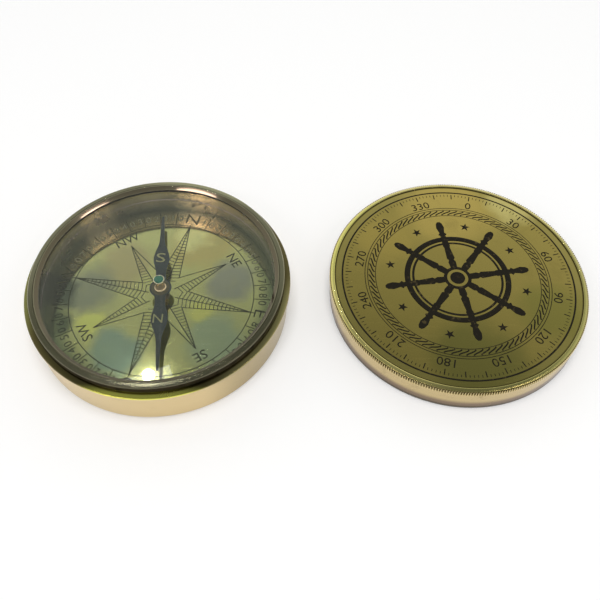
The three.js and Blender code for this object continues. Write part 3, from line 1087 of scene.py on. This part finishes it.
def smooth_run(start, end, steps=12):
    """Points of an S-shaped run between two (half width, reach) stations, level at both ends."""
    points = []
    for index in range(1, steps + 1):
        part = index / steps
        half = start[0] + (end[0] - start[0]) * eased(part)
        points.append((half, start[1] + (end[1] - start[1]) * part))
    return points


disc = arc(0, 0, DISC_RADIUS, 0, 62, 10)
arm = disc + [NECK] + smooth_run(NECK, LOBE) + smooth_run(LOBE, SHAFT) + [TIP, (0.0, BLADE_REACH)]
hole = arc(0, 0, HOLE_RADIUS, 90, -90, 24)
far_arm = [(across, -along) for across, along in reversed(arm)]
needle_leaf = filled("needle_leaf", far_arm + arm[1:] + hole, BLADE_BOTTOM * MM)
bpy.ops.object.mode_set(mode="OBJECT")
apply_modifier(needle_leaf, "MIRROR", use_clip=True, merge_threshold=0.002 * MM)
edit_all()
thicken((BLADE_TOP - BLADE_BOTTOM) * MM)
break_edges(needle_leaf, 0.07 * MM)
needle_leaf.rotation_euler.z = math.radians(NEEDLE_HEADING)
move_into_place(needle_leaf, (0, 0, 0))
dress(needle_leaf, "needle", "blued_steel", "blued_steel", "bare_steel")
paint_faces(needle_leaf, 1, ANY, (-1, BLADE_BOTTOM + 0.02))
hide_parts("needle_blade")

flare_levels = [8.47 + 2.73 * (index / 18) ** 2 for index in range(19)]
flare = [(1.10 + 0.12 / (level - 8.28), level) for level in flare_levels]
hub_section = [(0.65, 7.6), (1.55, 7.6), (1.55, 7.9), (1.1, 7.9), (1.1, 8.3), (1.75, 8.3)]
hub_section += flare + [(1.5, 11.9)] + arc(1.5, 12.17, 0.12, -60, 90)
hub_section += [(1.4, 12.3), (1.4, 11.7), (0.65, 11.7)]
hub_cap = turned("hub_cap", hub_section, SMALL_STEPS, closed=True, edge=0.025)
dress(hub_cap, "needle", "hub_brass", "hub_brass")
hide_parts("needle_hub")

dome = [(1.3 * across, 12.3 + 0.2 * up) for across, up in arc(0, 0, 1.0, 0, 90)]
stone_section = [(0, 12.1), (0.5, 11.7), (1.3, 11.7)] + dome[:-1] + [(0, 12.5)]
pivot_stone = turned("pivot_stone", stone_section, SMALL_STEPS, edge=0.03)
dress(pivot_stone, "needle", "green_stone", "green_stone")
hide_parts("jewel")

# %% [markdown]
# Two brass-coloured letters name the needle's ends. They stand upright to the viewer, across the leaf, so
# both have their tops towards the needle's south end.

# %% Lay the letters on the blade
LETTER_LEAN = 1.0
# Each row: letter, height, place along the blade, shift aside, stretch.
NEEDLE_WORDS = (("N", 3.1, 10.8, -0.4, 1.05), ("S", 3.6, -11.0, -0.2, 1.45))
bearing = math.radians(90 + NEEDLE_HEADING)
needle_words = []
for word, cap_height, along, aside, stretch in NEEDLE_WORDS:
    place = (along * math.cos(bearing) + aside, along * math.sin(bearing), 0)
    needle_words.append(ink_word(word, cap_height, place, LETTER_LEAN, stretch=stretch))
needle_letters = join_all("needle_letters", needle_words)
move_into_place(needle_letters, Vector((0, 0, BLADE_TOP)) * MM)
dress(needle_letters, "needle", "blued_steel", "letter_brass")

# %% [markdown]
# The pivot's bush and pin keep their CAD meshes, because a small turned flange and a pointed pin are
# already right there. They only get finishes.

# %% Finish the pivot
for node_name, finish_name in (("pivot_bush", "pivot_brass"), ("pivot_pin", "pivot_steel")):
    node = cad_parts[node_name]
    node.data.materials.clear()
    node.data.materials.append(finishes[finish_name])
    print(node_name, "in", finish_name)

# %% [markdown]
# The lid is a shallow turned cap with a raised lip round a sunk face.
# It could be cut from a cylinder, but like the case it came off a lathe, so its section is spun. The cap
# has a groove where its coin-edge band sits. All lid pieces are modelled round the origin and moved to
# the lid's place at the end.

# %% Turn the lid
BAND_BOTTOM = 7.4
BAND_TOP = 9.0
BAND_GROOVE = 37.45
LID_WALL = 37.7
LID_BORE = 36.6
LID_INSIDE = 6.25
PLATE_SEAT = 8.35
lid_section = [(0, LID_INSIDE), (LID_BORE, LID_INSIDE), (LID_BORE, 0.3), (36.8, 0), (37.3, 0)]
lid_section += [(LID_WALL, 0.4), (LID_WALL, BAND_BOTTOM - 0.3), (BAND_GROOVE, BAND_BOTTOM - 0.1)]
lid_section += [(BAND_GROOVE, BAND_TOP), (LID_WALL, BAND_TOP), (37.4, 9.12), (37.1, 9.23), (36.75, 9.3)]
lid_section += [(36.55, 9.24), (36.5, 9.1), (36.5, PLATE_SEAT), (0, PLATE_SEAT)]
lid_cap = turned("lid_cap", lid_section)
dress(lid_cap, "lid", "lid_brass", "lid_wall_brass", "lid_rim_brass", "lid_inside_brass")
paint_faces(lid_cap, 1, ANY, (8.8, FAR))
paint_faces(lid_cap, 2, (-1, 36.75), (-1, 6.4))
move_into_place(lid_cap, LID_CENTRE)
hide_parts("lid_shell")

# %% [markdown]
# The coin-edge band gives fingers a grip, and on the real lid a knurling wheel presses it in.
# Here it is modelled apart: a circle of many corners, every second pair of corners drawn in, then
# extruded to the band's height and closed behind. Cutting each tooth with a boolean would be far slower.
# The lid's thread is the case's ridge turned inside out, and the face is a plain disc.

# %% Cut the coin edge and add the thread and the face
TEETH = 334
TOOTH_CREST, TOOTH_ROOT = 38.0, 37.6
BAND_INWARD = 37.4 / 37.86
deselect_all()
bpy.ops.mesh.primitive_circle_add(vertices=4 * TEETH, radius=TOOTH_CREST * MM, location=(0, 0, 0))
lid_reeding = bpy.context.object
lid_reeding.name = lid_reeding.data.name = "lid_reeding"
edit_all()
bpy.ops.transform.translate(value=(0, 0, BAND_BOTTOM * MM))
bpy.ops.object.mode_set(mode="OBJECT")
for vertex in lid_reeding.data.vertices:
    vertex.select = vertex.index % 4 < 2
for edge in lid_reeding.data.edges:
    edge.select = False
bpy.ops.object.mode_set(mode="EDIT")
shrink = TOOTH_ROOT / TOOTH_CREST
bpy.ops.transform.resize(value=(shrink, shrink, 1), center_override=(0, 0, BAND_BOTTOM * MM))
bpy.ops.mesh.select_all(action="SELECT")
band_height = (BAND_TOP - BAND_BOTTOM) * MM
for lift_by, scale_by in ((band_height, 1), (0, BAND_INWARD), (-band_height, 1), (0, 1 / BAND_INWARD)):
    bpy.ops.mesh.extrude_edges_move(TRANSFORM_OT_translate={"value": (0, 0, lift_by)})
    bpy.ops.transform.resize(value=(scale_by, scale_by, 1), center_override=(0, 0, 0))
clean_up()
dress(lid_reeding, "lid", "lid_brass", "reeding_brass")
move_into_place(lid_reeding, LID_CENTRE)

lid_thread = thread_ridge("lid_thread", 36.64, 36.45, 0.9, 4)
dress(lid_thread, "lid", "lid_brass", "lid_inside_brass")
move_into_place(lid_thread, LID_CENTRE)

FACE_REACH = 36.4
face_section = [(0, PLATE_SEAT), (FACE_REACH, PLATE_SEAT), (FACE_REACH, FACE_LEVEL), (0, FACE_LEVEL)]
lid_face = turned("lid_face", face_section)
dress(lid_face, "lid", "plate_brass", "face_polish")
move_into_place(lid_face, LID_CENTRE)
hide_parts("lid_plate")

# %% [markdown]
# The lid's face carries a mariner's design, etched and filled with black like the dial.
# Its outer part is a border line, a ring of degrees and a rope. They could be printed as a picture, but
# drawn lines stay sharp, so the pens of the dial draw them all, each strand of the rope as one S-shaped
# stroke.

# %% Etch the rings, the ticks and the rope
FACE_TURN = -13.0
BORDER_REACH = 34.2
NUMBER_REACH = 29.3
ROPE_INNER = 24.4
ROPE_OUTER = 26.7
ROPE_STRANDS = 80
STRAND_SWING = 6.5
STRAND_GAP = 0.25
TICK_END, LONG_TICK, SHORT_TICK = 33.3, 31.5, 32.5
RING_POINTS = 240
STRAND_STEPS = 6
BORDER_PEN, THIN_PEN, TICK_PEN, FINE_PEN, ROPE_PEN = 0.5, 0.22, 0.32, 0.18, 0.42
NUMBER_HEIGHT, NUMBER_STRETCH = 2.7, 1.1


def on_face(clockwise, reach):
    """A point in mm at an angle clockwise from the top of the lid's design."""
    angle = math.radians(90 - clockwise)
    return (reach * math.cos(angle), reach * math.sin(angle), 0)


def rope_strand(clockwise):
    """One S-shaped strand across the rope."""
    strand = []
    for index in range(STRAND_STEPS + 1):
        part = index / STRAND_STEPS
        reach = ROPE_INNER + STRAND_GAP + (ROPE_OUTER - ROPE_INNER - 2 * STRAND_GAP) * part
        strand.append(on_face(clockwise + STRAND_SWING * eased(part), reach))
    return strand


border = ink_lines("border", [circle_stroke(BORDER_REACH, RING_POINTS)], BORDER_PEN, closed=True)
thin_circles = [circle_stroke(reach, RING_POINTS) for reach in (27.5, ROPE_OUTER, ROPE_INNER)]
thin_rings = ink_lines("thin_rings", thin_circles, THIN_PEN, closed=True)
long_ticks = [[on_face(angle, LONG_TICK), on_face(angle, TICK_END)] for angle in range(0, 360, 10)]
fine_angles = [angle for angle in range(0, 360, 2) if angle % 10]
short_ticks = [[on_face(angle, SHORT_TICK), on_face(angle, TICK_END)] for angle in fine_angles]
scale_lines = ink_lines("scale_lines", long_ticks, TICK_PEN)
fine_lines = ink_lines("fine_lines", short_ticks, FINE_PEN)
strands = [rope_strand(360 * index / ROPE_STRANDS) for index in range(ROPE_STRANDS)]
rope = ink_lines("rope", strands, ROPE_PEN)
face_scale = join_all("face_scale", [border, thin_rings, scale_lines, fine_lines])
face_rope = join_all("face_rope", [rope])
numbers = []
for degrees in range(0, 360, 30):
    place = on_face(degrees, NUMBER_REACH)
    numbers.append(ink_word(str(degrees), NUMBER_HEIGHT, place, -degrees, stretch=NUMBER_STRETCH))
face_numbers = join_all("face_numbers", numbers)

# %% [markdown]
# The middle of the design is a ship's wheel with a star between each pair of handles.
# A spoke and a star are flat shapes: an outline is drawn, filled and extruded by the ink's film, then
# copied round the centre, each copy with its own mesh. An Array modifier could copy them too, but it
# would need an empty to turn by.

# %% Etch the wheel and the stars
SPOKES = 8
SPOKE_STATIONS = [
    (3.4, 0.95), (6.0, 1.15), (6.8, 0.75), (7.4, 1.2), (11.6, 0.85), (12.2, 1.1), (16.3, 0.8),
    (16.8, 1.35), (17.5, 0.75), (19.6, 1.25), (21.2, 0.95), (21.9, 0.4),
]
STAR_REACH = 20.2
STAR_OUTER, STAR_INNER = 1.55, 0.62
WHEEL_RINGS = ((13.15, 0.7), (14.9, 1.7))
HUB_DOT, HUB_RING, HUB_PEN = 2.2, 3.6, 1.0


def flat_shape(name, outline):
    """A filled outline in mm, extruded by the ink's film."""
    piece = filled(name, outline, -INK_FILM)
    thicken(2 * INK_FILM)
    return piece


def copies_round(piece, count, first_turn):
    """The piece and its copies, each with its own mesh, turned round the centre."""
    made = [piece]
    for _ in range(1, count):
        pick(piece)
        bpy.ops.object.duplicate(linked=False)
        made.append(bpy.context.object)
    for index, copy in enumerate(made):
        copy.rotation_euler.z = math.radians(first_turn + 360 * index / count)
        move_into_place(copy, (0, 0, 0))
    return made


spoke_outline = [(half, reach) for reach, half in SPOKE_STATIONS]
spoke_outline += [(-half, reach) for reach, half in reversed(SPOKE_STATIONS)]
spokes = copies_round(flat_shape("spoke", spoke_outline), SPOKES, HALF_POINT)
rims = []
for reach, width in WHEEL_RINGS:
    rims.append(ink_lines("wheel_ring", [circle_stroke(reach, 160)], width, closed=True))
hub_dot = flat_shape("hub_dot", circle_stroke(HUB_DOT, 48))
hub_ring = ink_lines("hub_ring", [circle_stroke(HUB_RING, 80)], HUB_PEN, closed=True)
face_wheel = join_all("face_wheel", spokes + rims + [hub_dot, hub_ring])
star_outline = []
for index in range(10):
    reach = STAR_INNER if index % 2 else STAR_OUTER
    angle = math.radians(90 + 36 * index)
    star_outline.append((reach * math.cos(angle), STAR_REACH + reach * math.sin(angle)))
face_stars = join_all("face_stars", copies_round(flat_shape("star", star_outline), SPOKES, 0.0))
for piece in (face_scale, face_rope, face_numbers, face_wheel, face_stars):
    piece.rotation_euler.z = math.radians(FACE_TURN)
    move_into_place(piece, LID_CENTRE + Vector((0, 0, FACE_LEVEL * MM)))
    dress(piece, "lid", "plate_brass", "face_ink")
